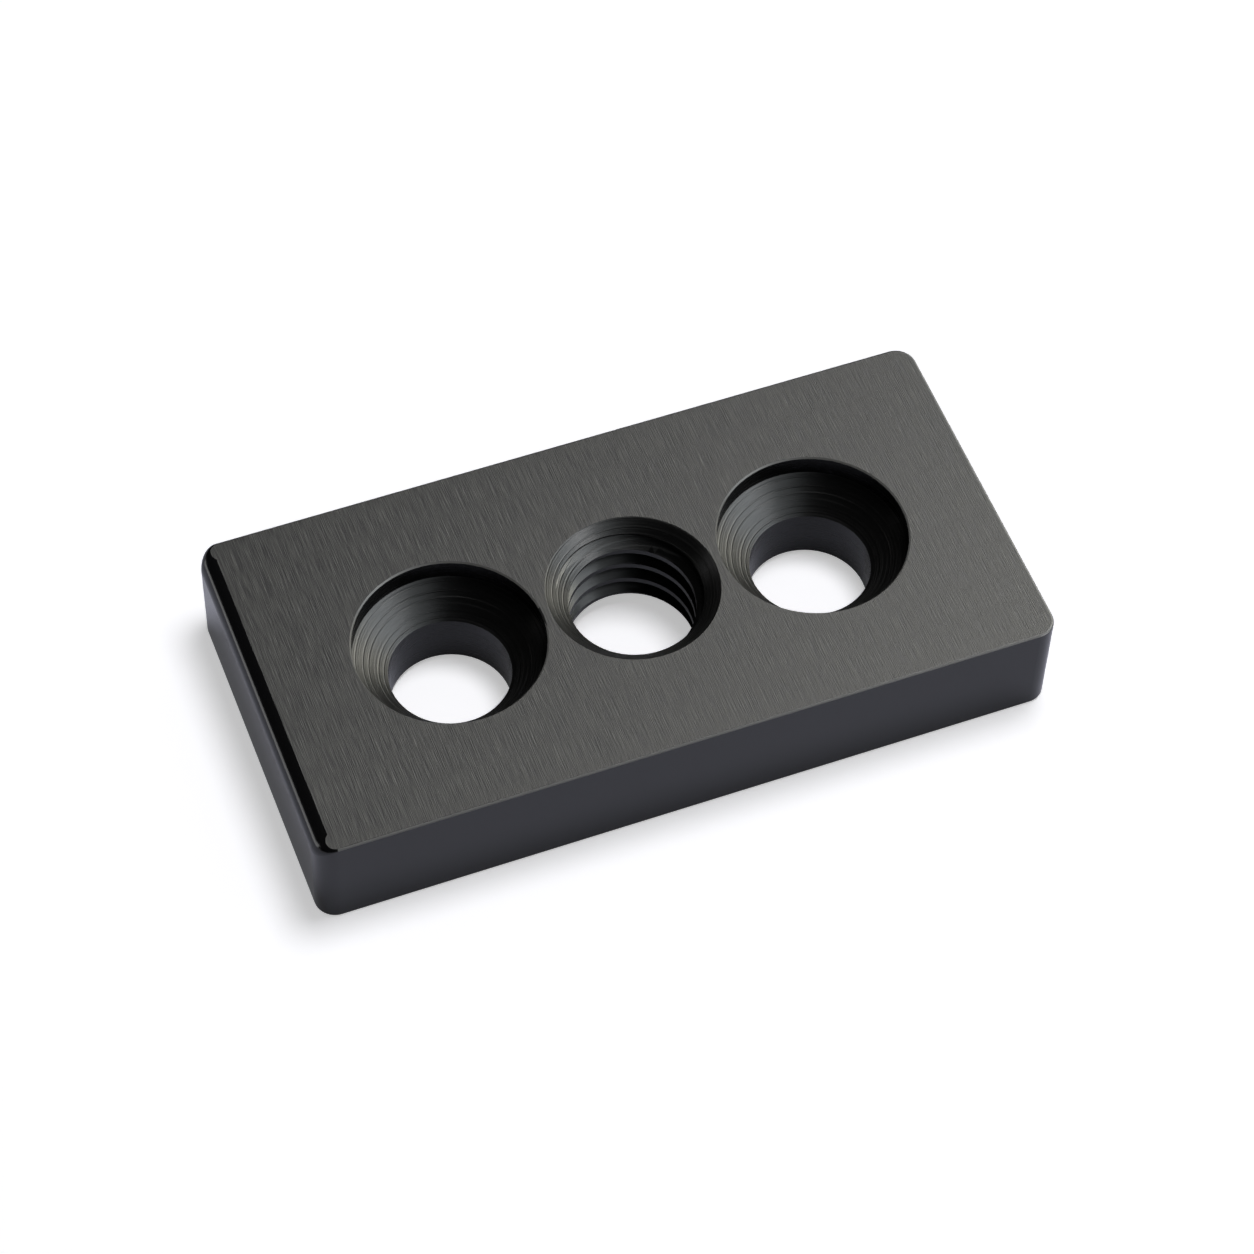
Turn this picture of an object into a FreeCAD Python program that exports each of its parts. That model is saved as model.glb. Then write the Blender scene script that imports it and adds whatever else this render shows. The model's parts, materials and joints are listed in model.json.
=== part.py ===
import FreeCAD, Part
import os
import re

import Sketcher

# A small mounting plate milled from aluminium bar, with two recessed countersunk screw
# holes and one tapped hole between them. Millimetres and degrees, +Z up, origin at the
# centre of the underside, +X along the plate. The countersinks open upwards.

SIZES = {
    # outline
    "plateLength": 40.0,  # along X
    "plateWidth": 20.0,  # along Y
    "plateThickness": 6.0,
    "cornerRadius": 1.1,  # upright corners
    "edgeBreak": 0.12,  # small round on the outer edges
    "leadRadius": 0.9,  # large round on the top edge of the -X end
    # screw holes
    "screwSpacing": 20.0,  # from axis to axis
    "sinkDiameter": 10.0,
    "sinkRecess": 1.2,  # straight wall above the countersink
    "sinkAngle": 100.0,  # included angle
    "boreDiameter": 6.4,  # clears the screw
    "rimBreak": 0.08,  # 45 degree break at the mouth
    "backBreak": 0.3,  # 45 degree break on the underside
    # tapped hole
    "threadDiameter": 8.0,  # major diameter
    "threadPitch": 1.25,
    "threadAngle": 60.0,  # between the flanks
    "rootFlat": 0.156,  # width of the flat at the thread's root
    "rootHeight": 1.23,  # height of a root on the +X side, which sets where the thread starts
    "tapDiameter": 6.65,  # drilled before tapping, so it is the diameter over the crests
    "mouthDiameter": 9.1,  # countersink above the thread
    "backMouthDiameter": 8.4,  # countersink below the thread
    "mouthAngle": 90.0,  # included angle of both
    # cutters
    "overrun": 1.0,  # travel beyond the faces
    "tapReach": 0.2,  # how far the thread cutter starts inside the drilled wall
}

# The holes stand centred on the flat of the top face, which the large round shortens.
HOLE_CENTRE = "(leadRadius - edgeBreak) / 2"

doc = FreeCAD.newDocument("mounting_plate")


def makeSheet():
    sheet = doc.addObject("Spreadsheet::Sheet", "sizes")
    for row, (name, value) in enumerate(SIZES.items(), start=1):
        sheet.set(f"A{row}", name)
        sheet.set(f"B{row}", str(value))
        sheet.setAlias(f"B{row}", name)
    doc.recompute()
    return sheet


def bound(formula):
    """The formula with each size written as the sheet's cell."""
    for word in set(re.findall(r"[A-Za-z]+", formula)) & set(SIZES):
        formula = re.sub(rf"\b{word}\b", f"sizes.{word}", formula)
    return formula


def originFeature(body, role):
    return next(f for f in body.Origin.OriginFeatures if f.Role == role)


def addSketch(body, name, role, along="0"):
    """A sketch on one of the body's planes, with its origin moved along X."""
    sketch = body.newObject("Sketcher::SketchObject", name)
    sketch.AttachmentSupport = [(originFeature(body, role), "")]
    sketch.MapMode = "FlatFace"
    sketch.setExpression("AttachmentOffset.Base.x", bound(along))
    return sketch


def drawOutline(sketch, corners):
    """A closed outline of straight lines through corners given as pairs of formulas, each
    held at those distances from the sketch's origin."""
    formulas = [(bound(x), bound(y)) for x, y in corners]
    places = [[float(sketch.evalExpression(f)) for f in pair] for pair in formulas]
    count = len(corners)
    for i in range(count):
        start = FreeCAD.Vector(*places[i], 0)
        end = FreeCAD.Vector(*places[(i + 1) % count], 0)
        sketch.addGeometry(Part.LineSegment(start, end), False)
    for i in range(count):
        sketch.addConstraint(Sketcher.Constraint("Coincident", i, 2, (i + 1) % count, 1))
    for i in range(count):
        for kind, place, formula in zip(("DistanceX", "DistanceY"), places[i], formulas[i]):
            index = sketch.addConstraint(Sketcher.Constraint(kind, -1, 1, i, 1, place))
            sketch.setExpression(f"Constraints[{index}]", formula)


def addFeature(body, kind, name, profile, sizes):
    feature = body.newObject(f"PartDesign::{kind}", name)
    feature.Profile = profile
    for prop, formula in sizes.items():
        feature.setExpression(prop, bound(formula))
    return feature


def mustCut(feature, before):
    """A cut that points away from the solid would remove nothing, and show no error."""
    doc.recompute()
    if feature.Shape.Volume >= before - 1e-6:
        raise RuntimeError(f"{feature.Name} cuts nothing")
    return feature.Shape.Volume


def makeBlank(body):
    """The bar, faced and cut to size, with its four upright corners rounded."""
    sketch = addSketch(body, "outline", "XY_Plane")
    halfLength, halfWidth = "plateLength / 2", "plateWidth / 2"
    drawOutline(
        sketch,
        [
            (f"-{halfLength}", f"-{halfWidth}"),
            (halfLength, f"-{halfWidth}"),
            (halfLength, halfWidth),
            (f"-{halfLength}", halfWidth),
        ],
    )
    blank = addFeature(body, "Pad", "blank", sketch, {"Length": "plateThickness"})
    doc.recompute()
    upright = [
        f"Edge{i}"
        for i, edge in enumerate(blank.Shape.Edges, start=1)
        if edge.BoundBox.ZLength > edge.BoundBox.DiagonalLength / 2
    ]
    corners = body.newObject("PartDesign::Fillet", "corners")
    corners.Base = (blank, upright)
    corners.setExpression("Radius", bound("cornerRadius"))
    doc.recompute()
    return corners.Shape.Volume


def cutScrewHoles(body, volume):
    """Straight recess, countersink and clearance bore, turned about the -X axis and
    repeated at the +X one."""
    along = f"{HOLE_CENTRE} - screwSpacing / 2"
    sketch = addSketch(body, "screw_hole_section", "XZ_Plane", along)
    sink, bore = "sinkDiameter / 2", "boreDiameter / 2"
    drawOutline(
        sketch,
        [
            ("0", "plateThickness + overrun"),
            (f"{sink} + rimBreak + overrun", "plateThickness + overrun"),
            (sink, "plateThickness - rimBreak"),
            (sink, "plateThickness - sinkRecess"),
            (bore, f"plateThickness - sinkRecess - ({sink} - {bore}) / tan(sinkAngle / 2)"),
            (bore, "backBreak"),
            (f"{bore} + backBreak + overrun", "-overrun"),
            ("0", "-overrun"),
        ],
    )
    hole = addFeature(body, "Groove", "screw_hole", sketch, {})
    hole.ReferenceAxis = (sketch, ["V_Axis"])
    hole.Angle = 360
    volume = mustCut(hole, volume)
    pair = body.newObject("PartDesign::LinearPattern", "screw_hole_pair")
    pair.Originals = [hole]
    pair.Direction = (sketch, ["H_Axis"])
    pair.Occurrences = 2
    pair.setExpression("Length", bound("screwSpacing"))
    body.Tip = pair
    return mustCut(pair, volume)


def drillTappedHole(body, volume):
    """The drilled wall that the thread's crests are left from, countersunk at both ends."""
    sketch = addSketch(body, "tapped_hole_section", "XZ_Plane", HOLE_CENTRE)
    wall, mouth, back = "tapDiameter / 2", "mouthDiameter / 2", "backMouthDiameter / 2"
    drawOutline(
        sketch,
        [
            ("0", "plateThickness + overrun"),
            (f"{mouth} + overrun * tan(mouthAngle / 2)", "plateThickness + overrun"),
            (wall, f"plateThickness - ({mouth} - {wall}) / tan(mouthAngle / 2)"),
            (wall, f"({back} - {wall}) / tan(mouthAngle / 2)"),
            (f"{back} + overrun * tan(mouthAngle / 2)", "-overrun"),
            ("0", "-overrun"),
        ],
    )
    hole = addFeature(body, "Groove", "tapped_hole", sketch, {})
    hole.ReferenceAxis = (sketch, ["V_Axis"])
    hole.Angle = 360
    return mustCut(hole, volume)


def cutThread(body, volume):
    """One right-handed groove, swept up the wall from below the plate to above it."""
    sketch = addSketch(body, "thread_section", "XZ_Plane", HOLE_CENTRE)
    root, inside = "threadDiameter / 2", "(tapDiameter / 2 - tapReach)"
    centre = "rootHeight - 2 * threadPitch"
    spread = f"rootFlat / 2 + ({root} - {inside}) * tan(threadAngle / 2)"
    drawOutline(
        sketch,
        [
            (root, f"{centre} - rootFlat / 2"),
            (root, f"{centre} + rootFlat / 2"),
            (inside, f"{centre} + {spread}"),
            (inside, f"{centre} - ({spread})"),
        ],
    )
    path = {"Pitch": "threadPitch", "Height": "plateThickness + 4 * threadPitch"}
    thread = addFeature(body, "SubtractiveHelix", "thread", sketch, path)
    thread.ReferenceAxis = (sketch, ["V_Axis"])
    thread.Mode = "pitch-height-angle"
    thread.HasBeenEdited = True
    return mustCut(thread, volume)


def outerEdges(shape, height):
    """The edges round the outside of the flat face at this height, with their numbers."""

    def isLevel(face):
        box = face.BoundBox
        return box.ZLength < 1e-6 and abs(box.ZMin - height) < 1e-6

    rim = max(filter(isLevel, shape.Faces), key=lambda face: face.Area).OuterWire.Edges
    return [(i, e) for i, e in enumerate(shape.Edges, start=1) if any(e.isSame(r) for r in rim)]


def roundEdges(body, sheet):
    """A small round all round the top and the underside. On top it grows round the two
    -X corners into the large round of that end."""
    top, end = sheet.plateThickness, -sheet.plateLength / 2

    def radiusAt(vertex):
        return sheet.leadRadius if abs(vertex.X - end) < 1e-6 else sheet.edgeBreak

    edges = [(i, sheet.edgeBreak, sheet.edgeBreak) for i, _ in outerEdges(body.Shape, 0)]
    for i, edge in outerEdges(body.Shape, top):
        edges.append((i, radiusAt(edge.Vertexes[0]), radiusAt(edge.Vertexes[-1])))
    plate = doc.addObject("Part::Fillet", "rounded_edges")
    plate.Label = "mounting_plate"
    plate.Base = body
    plate.Edges = edges
    doc.recompute()
    return plate


def checkDocument():
    for thing in doc.Objects:
        if {"Invalid", "Error"} & set(thing.State):
            raise RuntimeError(f"{thing.Name} failed: {thing.State}")


def export(part):
    shape = part.Shape
    if shape.isNull() or not shape.isValid() or len(shape.Solids) != 1:
        raise RuntimeError(f"{part.Label} is not one valid solid")
    os.makedirs("parts", exist_ok=True)
    shape.exportStep(f"parts/{part.Label}.step")
    print(f"{part.Label}: {shape.Volume:.1f} mm3, {len(shape.Faces)} faces")


sheet = makeSheet()
body = doc.addObject("PartDesign::Body", "machined_body")
volume = makeBlank(body)
volume = cutScrewHoles(body, volume)
volume = drillTappedHole(body, volume)
volume = cutThread(body, volume)
plate = roundEdges(body, sheet)
checkDocument()
export(plate)
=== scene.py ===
import json
from math import cos, radians, sin

import bmesh
import bpy
from mathutils import Matrix, Vector


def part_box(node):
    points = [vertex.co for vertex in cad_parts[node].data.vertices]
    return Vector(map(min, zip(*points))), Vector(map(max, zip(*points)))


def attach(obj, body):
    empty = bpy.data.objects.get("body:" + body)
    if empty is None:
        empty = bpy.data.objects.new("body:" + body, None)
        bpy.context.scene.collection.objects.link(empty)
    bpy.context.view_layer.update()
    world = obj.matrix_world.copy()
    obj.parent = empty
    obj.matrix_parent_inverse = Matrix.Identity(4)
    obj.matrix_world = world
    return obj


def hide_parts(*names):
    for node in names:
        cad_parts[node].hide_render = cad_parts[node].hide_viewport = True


# A small mounting plate, milled from aluminium bar and anodised black. The CAD node gives
# its shape. What is made here is the finish that each tool left, the lights and the camera.

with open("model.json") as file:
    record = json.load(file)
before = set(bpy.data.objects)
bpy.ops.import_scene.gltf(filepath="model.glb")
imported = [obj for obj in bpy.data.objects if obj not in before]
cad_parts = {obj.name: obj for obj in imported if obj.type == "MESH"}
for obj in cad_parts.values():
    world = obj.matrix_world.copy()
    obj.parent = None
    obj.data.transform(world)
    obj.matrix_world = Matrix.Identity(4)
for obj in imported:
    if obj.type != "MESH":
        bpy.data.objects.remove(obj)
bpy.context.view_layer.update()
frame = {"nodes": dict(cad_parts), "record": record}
scene = bpy.context.scene
scene.view_settings.view_transform = "Standard"
print("stage: frame loaded")


def mm(length):
    return length / 1000


def linear(hexColour):
    channels = [int(hexColour[i:i + 2], 16) / 255 for i in (1, 3, 5)]
    return [c / 12.92 if c <= 0.04045 else ((c + 0.055) / 1.055) ** 2.4 for c in channels] + [1.0]


# adds one node, sets it up, and links or fills its inputs; the sockets of a Mix node share
# their names, so they go by number: 0 is the factor, 2 and 3 the numbers, 6 and 7 the colours
def addNode(tree, kind, inputs=None, **settings):
    node = tree.nodes.new("ShaderNode" + kind)
    for name, value in settings.items():
        setattr(node, name, value)
    for socket, value in (inputs or {}).items():
        if isinstance(value, bpy.types.NodeSocket):
            tree.links.new(value, node.inputs[socket])
        else:
            node.inputs[socket].default_value = value
    return node


def newMaterial(name):
    material = bpy.data.materials.new(name)
    material.use_nodes = True
    material.node_tree.nodes.clear()
    return material, material.node_tree


def pointInMm(tree):
    place = addNode(tree, "TexCoord").outputs["Object"]
    return addNode(tree, "VectorMath", {0: place, "Scale": 1000.0}, operation="SCALE").outputs[0]


# Anodised aluminium wears a clear, hard oxide with the dye inside it. It shines like a glaze
# over black and shows no bare metal, so the shader isn't metallic.
def closeMaterial(tree, colour, roughness, normal, anisotropy=0.0, across=None, specular=0.5):
    inputs = {
        "Base Color": colour,
        "Roughness": roughness,
        "Specular IOR Level": specular,
        "Anisotropic": anisotropy,
        "Normal": normal,
    }
    if across is not None:
        inputs["Tangent"] = across
    shader = addNode(tree, "BsdfPrincipled", inputs)
    addNode(tree, "OutputMaterial", {"Surface": shader.outputs[0]})


# the roughness and the relief of a cut face, smoother where the amount is 0 and rougher at 1
def cutSurface(tree, height, amount, cut):
    smoother, rougher = cut["roughness"]
    limits = {"Value": amount, "To Min": smoother, "To Max": rougher}
    roughness = addNode(tree, "MapRange", limits).outputs[0]
    relief = {"Height": height, "Strength": 1.0, "Distance": mm(cut["depth"])}
    normal = addNode(tree, "Bump", relief).outputs[0]
    return roughness, normal


# what a tool's marks do to the surface: black and smoother in their bottoms, rougher and
# painted grey on their peaks, a painted sheen
def marksWithPaintedSheen(tree, height, tool):
    low, high = tool["peaks"]
    rise = {"Value": height, "From Min": low, "From Max": high}
    peaks = addNode(tree, "MapRange", rise, interpolation_type="SMOOTHSTEP").outputs[0]
    dyeAndSheen = {0: peaks, 6: linear(tool["dye"]), 7: linear(tool["peakSheen"])}
    colour = addNode(tree, "Mix", dyeAndSheen, data_type="RGBA").outputs[2]
    roughness, normal = cutSurface(tree, height, peaks, tool)
    return colour, roughness, normal


# Brushed anodised aluminium, on the top face. The strokes run across the plate and spread
# the gloss to their sides, so the face is a soft dark grey with a straight grain. The grey on
# the stroke peaks and in the sharpest scratches is painted sheen. The real strokes are finer,
# and are drawn as coarse as they need to be to show.
brush = {
    "dye": "#080808",  # in the bottom of the strokes
    # the grey on the peaks is a painted sheen, and the grey in the sharpest scratches a painted glint
    "peakSheen": "#3a3a38",  # on their peaks
    "scratchGlint": "#5e5e5b",  # in the sharpest scratches
    "strokeWidth": 0.048,  # mm
    "strokeLength": 1.9,  # mm
    "bandWidth": 0.3,  # mm, of the bands that the strokes gather in
    "bandLength": 7.0,  # mm
    "bandShare": 0.18,  # of the height
    "detail": 2.0,
    "grit": 0.6,  # how strong the finer detail is
    "peaks": (0.41, 0.60),  # heights between which black turns to grey
    "scratches": (0.64, 0.72),  # and grey to the painted glint
    "roughness": (0.36, 0.48),  # in the bottoms and on the peaks
    "depth": 0.02,  # mm
    "anisotropy": 0.6,
}


def strokeNoise(tree, point, width, length):
    inputs = {0: point, 1: (1 / width, 1 / length, 1.0)}
    stretched = addNode(tree, "VectorMath", inputs, operation="MULTIPLY").outputs[0]
    look = {"Vector": stretched, "Scale": 1.0, "Detail": brush["detail"], "Roughness": brush["grit"]}
    return addNode(tree, "TexNoise", look).outputs[0]


def makeBrushed():
    material, tree = newMaterial("anodisedAluminiumBrushed")
    point = pointInMm(tree)
    strokes = strokeNoise(tree, point, brush["strokeWidth"], brush["strokeLength"])
    bands = strokeNoise(tree, point, brush["bandWidth"], brush["bandLength"])
    height = addNode(tree, "Mix", {0: brush["bandShare"], 2: strokes, 3: bands}).outputs[0]
    colour, roughness, normal = marksWithPaintedSheen(tree, height, brush)
    low, high = brush["scratches"]
    rise = {"Value": strokes, "From Min": low, "From Max": high}
    scratches = addNode(tree, "MapRange", rise, interpolation_type="SMOOTHSTEP").outputs[0]
    dyeAndSheen = {0: scratches, 6: colour, 7: linear(brush["scratchGlint"])}
    colour = addNode(tree, "Mix", dyeAndSheen, data_type="RGBA").outputs[2]
    across = addNode(tree, "CombineXYZ", {0: 1.0}).outputs[0]
    closeMaterial(tree, colour, roughness, normal, brush["anisotropy"], across)
    return material


# Milled anodised aluminium, on the sides, the underside and the large round of the -X end.
# An end mill leaves it nearly smooth, so it mirrors the paper softly in black.
milled = {
    "dye": "#0e0e0f",
    "roughness": (0.13, 0.18),
    "grainsPerMm": 9.0,
    "detail": 3.0,
    "depth": 0.001,  # mm
}

# Broken edges of anodised aluminium, each painted as a fine grey line: a painted highlight along the
# edge.
brokenEdgePaintedHighlight = {**milled, "dye": "#60605e", "roughness": (0.34, 0.42)}


def makeMilled(name, cut):
    material, tree = newMaterial(name)
    look = {"Vector": pointInMm(tree), "Scale": cut["grainsPerMm"], "Detail": cut["detail"]}
    grain = addNode(tree, "TexNoise", look).outputs[0]
    roughness, normal = cutSurface(tree, grain, grain, cut)
    closeMaterial(tree, linear(cut["dye"]), roughness, normal)
    return material


# Turned anodised aluminium, in the countersinks. The cutter leaves rings round the axis, and
# they draw the gloss out into a pale fan that runs down the cone. The deepest rings show
# singly. The real ones are finer, and are drawn as coarse as they need to be to show.
sink = {
    "dye": "#090909",
    # the grey on the ring peaks is a painted sheen
    "peakSheen": "#1a1a1a",
    "specular": 0.55,
    "ringWidth": 0.05,  # mm
    "arcLength": 8.0,  # mm, how long a mark runs round the hole
    "peaks": (0.52, 0.68),
    "roughness": (0.36, 0.48),
    "depth": 0.017,  # mm
    "anisotropy": 0.4,
    "deepRings": (3.45, 3.68, 4.10, 4.33, 4.66, 5.05, 5.30, 5.62, 5.95),  # mm above the underside
}

# Drilled anodised aluminium, in the bores. The drill leaves a smoother wall. Its colour is a
# painted shade, blacker than the countersink's, for a wall deep in the shade, with a faint painted sheen
# on the mark peaks.
boreInPaintedShade = {
    **sink,
    "dye": "#060606",
    "peakSheen": "#0c0c0d",
    "specular": 0.24,
    "ringWidth": 0.1,
    "arcLength": 6.0,
    "roughness": (0.24, 0.36),
    "depth": 0.002,
    "anisotropy": 0.3,
    "deepRings": (),
}

# The straight walls above the countersinks, cut like the bores, with the bores' painted shade in their
# colour and a weaker gloss that makes them blacker still.
recessInPaintedShade = {**boreInPaintedShade, "specular": 0.12}

# Tapped anodised aluminium, in the thread. The tap leaves short marks along the turns, so the
# flanks catch the light in thin arcs. The grey on the marks' peaks is a painted sheen.
thread = {
    **boreInPaintedShade,
    "dye": "#080808",
    "peakSheen": "#151515",
    "specular": 0.36,
    "ringWidth": 0.08,
    "arcLength": 2.0,
    "roughness": (0.28, 0.40),
    "depth": 0.003,
}

turning = {
    "radius": 4.0,  # mm from the axis, where an arc has its stated length
    "detail": 3.0,
    "grit": 0.6,
    "deepRingWidth": 0.045,  # mm, from the middle of a deep ring to its edge
    "deepRingDepth": 0.012,  # mm
}

mounts = {mount["name"]: mount for mount in frame["record"]["mounts"]}
rowCentre = 1000 * mounts["centre_thread"]["pos_m"][0]  # mm along X, of the middle hole's axis
pitch = mounts["screw_pair"]["dims"]["spacing_x_mm"] / 2  # mm between neighbouring axes


# distance along X from the nearest hole's axis
def besideAxis(tree, along):
    local = addNode(tree, "Math", {0: along, 1: rowCentre}, operation="SUBTRACT").outputs[0]
    shifted = addNode(tree, "Math", {0: local, 1: pitch / 2}, operation="ADD").outputs[0]
    nearest = addNode(tree, "Math", {0: shifted, 1: pitch}, operation="SNAP").outputs[0]
    return addNode(tree, "Math", {0: local, 1: nearest}, operation="SUBTRACT").outputs[0]


def ringNoise(tree, across, y, z, tool):
    angle = addNode(tree, "Math", {0: y, 1: across}, operation="ARCTAN2").outputs[0]
    arcs = turning["radius"] / tool["arcLength"]
    around = addNode(tree, "Math", {0: angle, 1: arcs}, operation="MULTIPLY").outputs[0]
    down = addNode(tree, "Math", {0: z, 1: 1 / tool["ringWidth"]}, operation="MULTIPLY").outputs[0]
    path = addNode(tree, "CombineXYZ", {0: around, 1: down}).outputs[0]
    look = {"Vector": path, "Scale": 1.0, "Detail": turning["detail"], "Roughness": turning["grit"]}
    return addNode(tree, "TexNoise", look).outputs[0]


# one deep ring at this height, on top of the relief so far
def cutRing(tree, z, height, normal):
    above = addNode(tree, "Math", {0: z, 1: height}, operation="SUBTRACT").outputs[0]
    away = addNode(tree, "Math", {0: above}, operation="ABSOLUTE").outputs[0]
    fall = {"Value": away, "From Max": turning["deepRingWidth"], "To Min": 1.0, "To Max": 0.0}
    ring = addNode(tree, "MapRange", fall, interpolation_type="SMOOTHSTEP").outputs[0]
    relief = {"Height": ring, "Strength": 1.0, "Distance": mm(turning["deepRingDepth"]), "Normal": normal}
    return addNode(tree, "Bump", relief).outputs[0]


def makeTurned(name, tool):
    material, tree = newMaterial(name)
    x, y, z = addNode(tree, "SeparateXYZ", {0: pointInMm(tree)}).outputs[:]
    across = besideAxis(tree, x)
    rings = ringNoise(tree, across, y, z, tool)
    colour, roughness, normal = marksWithPaintedSheen(tree, rings, tool)
    for height in tool["deepRings"]:
        normal = cutRing(tree, z, height, normal)
    outward = addNode(tree, "CombineXYZ", {0: across, 1: y}).outputs[0]
    closeMaterial(tree, colour, roughness, normal, tool["anisotropy"], outward, tool["specular"])
    return material


# what tells the faces of the plate apart
cuts = {
    "weld": 0.0001,  # mm, within which corners are one
    "tolerance": 0.001,  # mm
    "level": 0.999,  # least upward part of a level face's normal
    "edgeTilt": (0.1, 0.98),  # the same for a rounded edge, least and most
    "holeReach": 5.3,  # mm from an axis, beyond every mouth
    "rimBreak": 0.09,  # mm below the top face, just past a mouth's broken edge
    "recessFoot": 1.2,  # mm below the top face
    "middleSinkFoot": 1.22,  # mm below the top face
    "boreTop": 3.3,  # mm above the underside
    "leadRound": 1.2,  # mm from the -X end, past its large round, which stays milled
}


# a copy of the CAD node's mesh with its loose triangles joined and its normals kept
def mergedCopy(node, name):
    mesh = node.data.copy()
    mesh.name = name
    kept = mesh.attributes.new("cadNormal", "FLOAT_VECTOR", "CORNER")
    kept.data.foreach_set("vector", [x for corner in mesh.corner_normals for x in corner.vector])
    shape = bmesh.new()
    shape.from_mesh(mesh)
    bmesh.ops.remove_doubles(shape, verts=shape.verts, dist=mm(cuts["weld"]))
    shape.to_mesh(mesh)
    shape.free()
    normals = [corner.vector[:] for corner in mesh.attributes["cadNormal"].data]
    mesh.attributes.remove(mesh.attributes["cadNormal"])
    mesh.normals_split_custom_set(normals)
    piece = bpy.data.objects.new(name, mesh)
    scene.collection.objects.link(piece)
    return piece


def middleHoleFinish(z, top):
    return "turned" if z > top - cuts["middleSinkFoot"] else "threaded"


def screwHoleFinish(z, top):
    if z > top - cuts["rimBreak"]:
        return "broken"
    if z > top - cuts["recessFoot"]:
        return "recessed"
    if z > cuts["boreTop"]:
        return "turned"
    return "bored" if z > cuts["tolerance"] else "milled"


# which finish a face has, from where it lies in the plate
def finishAt(centre, normal, top, end):
    x, y, z = (1000 * value for value in centre)
    if z > top - cuts["tolerance"] and normal.z > cuts["level"]:
        return "brushed"
    nearest = min((-pitch, 0.0, pitch), key=lambda axis: abs(x - rowCentre - axis))
    if (x - rowCentre - nearest) ** 2 + y ** 2 < cuts["holeReach"] ** 2:
        return middleHoleFinish(z, top) if nearest == 0.0 else screwHoleFinish(z, top)
    least, most = cuts["edgeTilt"]
    isEdge = least < abs(normal.z) < most and x > end + cuts["leadRound"]
    return "broken" if isEdge else "milled"


def dressPlate():
    low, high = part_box("mounting_plate")
    plate = mergedCopy(frame["nodes"]["mounting_plate"], "machined_plate")
    plate.data.materials.clear()
    finishes = {
        "brushed": makeBrushed(),
        "milled": makeMilled("anodisedAluminiumMilled", milled),
        "broken": makeMilled("anodisedAluminiumBrokenEdgePaintedHighlight", brokenEdgePaintedHighlight),
        "turned": makeTurned("anodisedAluminiumTurned", sink),
        "bored": makeTurned("anodisedAluminiumBoredPaintedShade", boreInPaintedShade),
        "recessed": makeTurned("anodisedAluminiumRecessedPaintedShade", recessInPaintedShade),
        "threaded": makeTurned("anodisedAluminiumThreaded", thread),
    }
    for material in finishes.values():
        plate.data.materials.append(material)
    order = list(finishes)
    for face in plate.data.polygons:
        finish = finishAt(face.center, face.normal, 1000 * high.z, 1000 * low.x)
        face.material_index = order.index(finish)
    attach(plate, "root")
    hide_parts("mounting_plate")
    return plate


dressPlate()
print("stage: plate dressed")

# Matt paper under the plate. It is white to the eye, and a little bluer and darker in the
# light that it throws back on the plate.
paper = {
    "size": 4.0,  # m
    "seenColour": "#f1f1f6",
    "seenGlow": 0.45,  # strength of its own light, to the eye
    "thrownColour": "#cbcddf",
    "mirroredGlow": 0.10,  # and in the plate's gloss
}


# 1 for a ray that comes from the camera, straight or through something clear
def seenDirectly(tree, rays):
    straight = {0: rays["Is Camera Ray"], 1: rays["Is Transmission Ray"]}
    return addNode(tree, "Math", straight, operation="MAXIMUM").outputs[0]


def makeStage():
    bpy.ops.mesh.primitive_plane_add(size=paper["size"])
    floor = bpy.context.object
    floor.name = "floor"
    material, tree = newMaterial("palePaper")
    rays = addNode(tree, "LightPath").outputs
    seen = seenDirectly(tree, rays)
    colours = {0: seen, 6: linear(paper["thrownColour"]), 7: linear(paper["seenColour"])}
    colour = addNode(tree, "Mix", colours, data_type="RGBA").outputs[2]
    matt = addNode(tree, "BsdfDiffuse", {"Color": colour}).outputs[0]
    glossy = {0: rays["Is Glossy Ray"], 1: paper["mirroredGlow"]}
    mirrored = addNode(tree, "Math", glossy, operation="MULTIPLY").outputs[0]
    levels = {0: seen, 1: paper["seenGlow"], 2: mirrored}
    strength = addNode(tree, "Math", levels, operation="MULTIPLY_ADD").outputs[0]
    glow = addNode(tree, "Emission", {"Color": linear("#ffffff"), "Strength": strength}).outputs[0]
    both = addNode(tree, "AddShader", {0: matt, 1: glow}).outputs[0]
    addNode(tree, "OutputMaterial", {"Surface": both})
    material.cycles.emission_sampling = "NONE"  # not sampled as a lamp, so the kind of ray decides
    floor.data.materials.append(material)


# The room is white to the eye. The plate's gloss meets only a thin bright band low down,
# like the far edge of the paper, and its matt part a faint even light.
room = {
    "horizon": 0.05,  # sine of the band's height
    "dome": 0.17,  # strength of the even light
}


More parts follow.
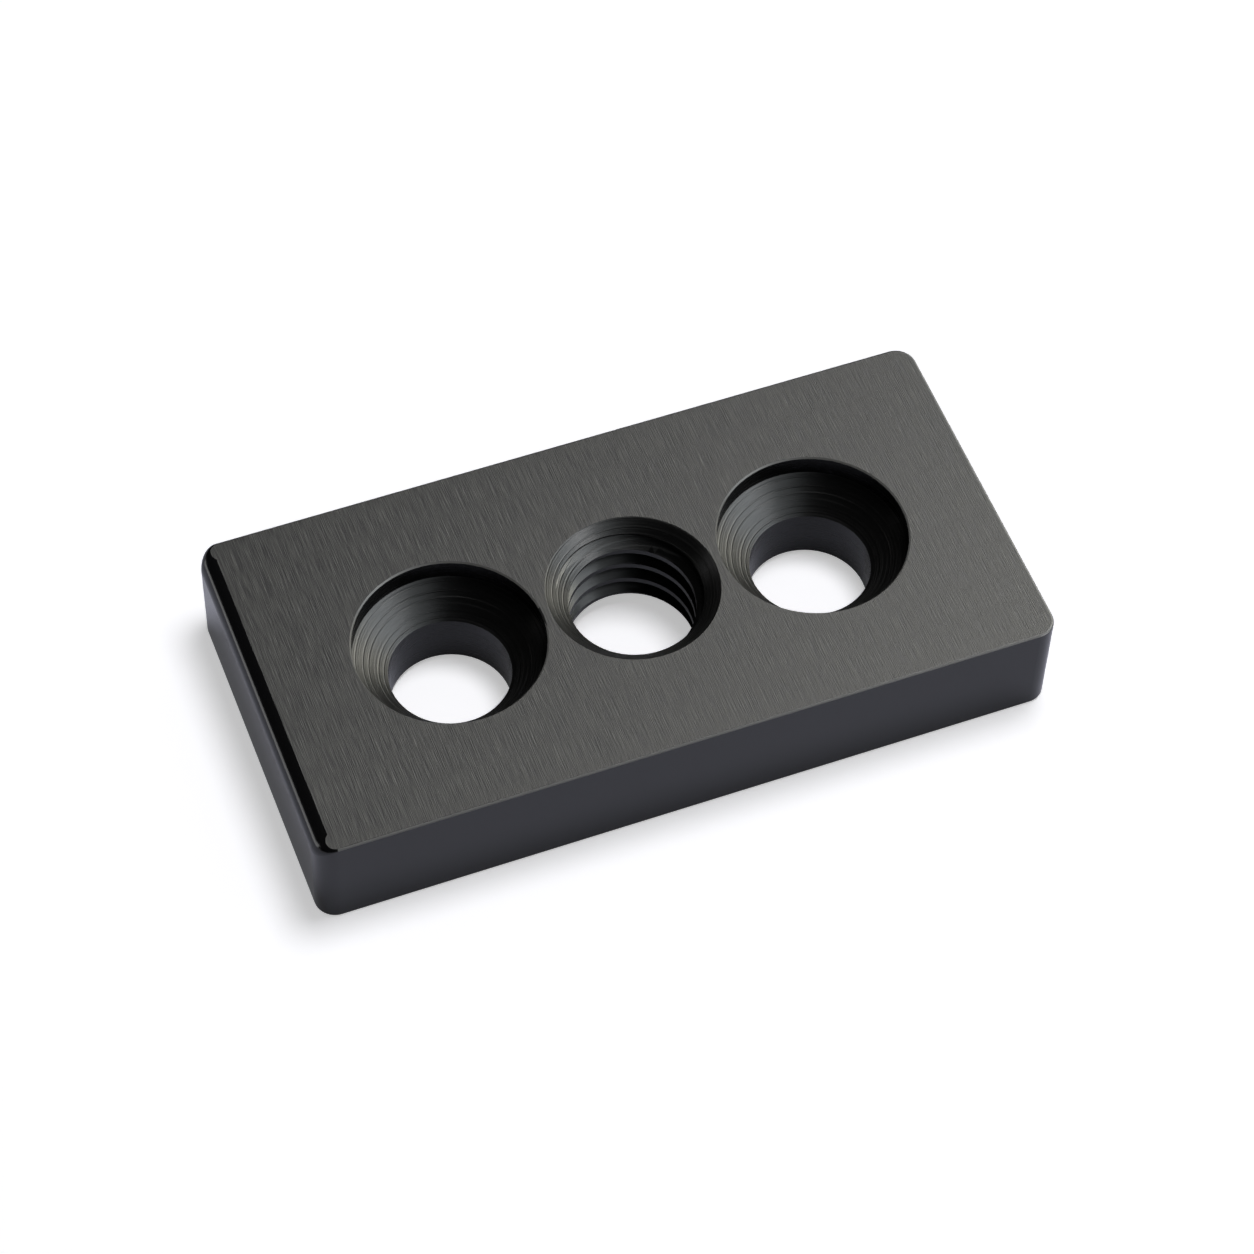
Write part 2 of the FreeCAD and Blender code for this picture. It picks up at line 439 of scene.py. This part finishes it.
def makeWorld():
    world = bpy.data.worlds.new("studio")
    scene.world = world
    world.use_nodes = True
    tree = world.node_tree
    tree.nodes.clear()
    rays = addNode(tree, "LightPath").outputs
    seen = seenDirectly(tree, rays)
    direction = addNode(tree, "TexCoord").outputs["Generated"]
    height = addNode(tree, "SeparateXYZ", {0: direction}).outputs["Z"]
    fall = {
        "Value": height,
        "From Min": room["horizon"] / 2,
        "From Max": room["horizon"],
        "To Min": 1.0,
        "To Max": 0.0,
    }
    low = addNode(tree, "MapRange", fall).outputs[0]
    band = addNode(tree, "Math", {0: low, 1: rays["Is Glossy Ray"]}, operation="MULTIPLY").outputs[0]
    matt = {0: rays["Is Diffuse Ray"], 1: room["dome"]}
    dome = addNode(tree, "Math", matt, operation="MULTIPLY").outputs[0]
    level = addNode(tree, "Math", {0: seen, 1: band}, operation="MAXIMUM").outputs[0]
    level = addNode(tree, "Math", {0: level, 1: dome}, operation="MAXIMUM").outputs[0]
    back = addNode(tree, "Background", {"Color": linear("#ffffff"), "Strength": level}).outputs[0]
    addNode(tree, "OutputWorld", {"Surface": back})
    world.cycles.sampling_method = "NONE"  # not sampled as a lamp, so the kind of ray decides


# the direction out of the scene towards a place given by its azimuth and elevation
def towards(azimuth, elevation):
    a = radians(azimuth)
    e = radians(elevation)
    return Vector((sin(a) * cos(e), -cos(a) * cos(e), sin(e)))


# each lamp: azimuth, elevation, width in m, power in W and colour
lamps = {
    "distance": 0.4,  # m
    # cards that only show as gloss
    "cards": {
        "topCard": (135.0, 50.0, 0.2, 0.55, "#ffffff"),
        "rightCard": (108.0, 35.0, 0.22, 0.86, "#fffdee"),
        "frontRightCard": (72.0, 35.0, 0.3, 1.05, "#f4fbff"),
        "lowRightCard": (112.0, 16.0, 0.2, 0.34, "#fffdee"),
        "lowFrontCard": (40.0, 8.0, 0.2, 1.2, "#ffffff"),
        "frontCard": (30.0, 40.0, 0.34, 0.34, "#f4fbff"),
        "highCard": (120.0, 65.0, 0.2, 0.15, "#ffffff"),
        "leftCard": (240.0, 5.0, 0.12, 0.07, "#ffffff"),
    },
    "softbox": (112.0, 76.0, 0.17, 0.86, "#ffffff"),  # lights the paper and casts the shadow
}


def makeLamp(name, azimuth, elevation, size, power, colour):
    lamp = bpy.data.lights.new(name, "AREA")
    lamp.shape = "DISK"
    lamp.size = size
    lamp.color = linear(colour)[:3]
    lamp.energy = power
    out = towards(azimuth, elevation)
    holder = bpy.data.objects.new(name, lamp)
    holder.location = out * lamps["distance"]
    holder.rotation_euler = out.to_track_quat("Z", "Y").to_euler()
    scene.collection.objects.link(holder)
    return holder


def makeLamps():
    for name, card in lamps["cards"].items():
        makeLamp(name, *card).visible_diffuse = False
    makeLamp("softbox", *lamps["softbox"]).visible_glossy = False


viewPoint = {
    "azimuth": -22.59,
    "elevation": 54.49,
    "roll": 2.14,
    "distance": 207.96,  # mm, along the line of sight from the middle of the top face
    "aside": 0.05,  # mm, how far the line of sight passes that point to the right
    "above": -1.94,  # mm, and above it
    "lens": 116.26,  # mm
    "clipStart": 10.0,  # mm
}


def makeCamera():
    low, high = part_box("mounting_plate")
    middle = Vector(((low.x + high.x) / 2, (low.y + high.y) / 2, high.z))
    back = towards(viewPoint["azimuth"], viewPoint["elevation"])
    right = towards(viewPoint["azimuth"] + 90, 0)
    up = back.cross(right)
    roll = Matrix.Rotation(radians(viewPoint["roll"]), 3, back)
    right = roll @ right
    up = roll @ up
    eye = middle + back * mm(viewPoint["distance"])
    eye += right * mm(viewPoint["aside"]) + up * mm(viewPoint["above"])
    lens = bpy.data.cameras.new("camera")
    lens.lens = viewPoint["lens"]
    lens.clip_start = mm(viewPoint["clipStart"])
    camera = bpy.data.objects.new("camera", lens)
    camera.matrix_world = Matrix.Translation(eye) @ Matrix((right, up, back)).transposed().to_4x4()
    scene.collection.objects.link(camera)
    scene.camera = camera


makeStage()
makeWorld()
makeLamps()
makeCamera()
print("stage: lights and camera ready")
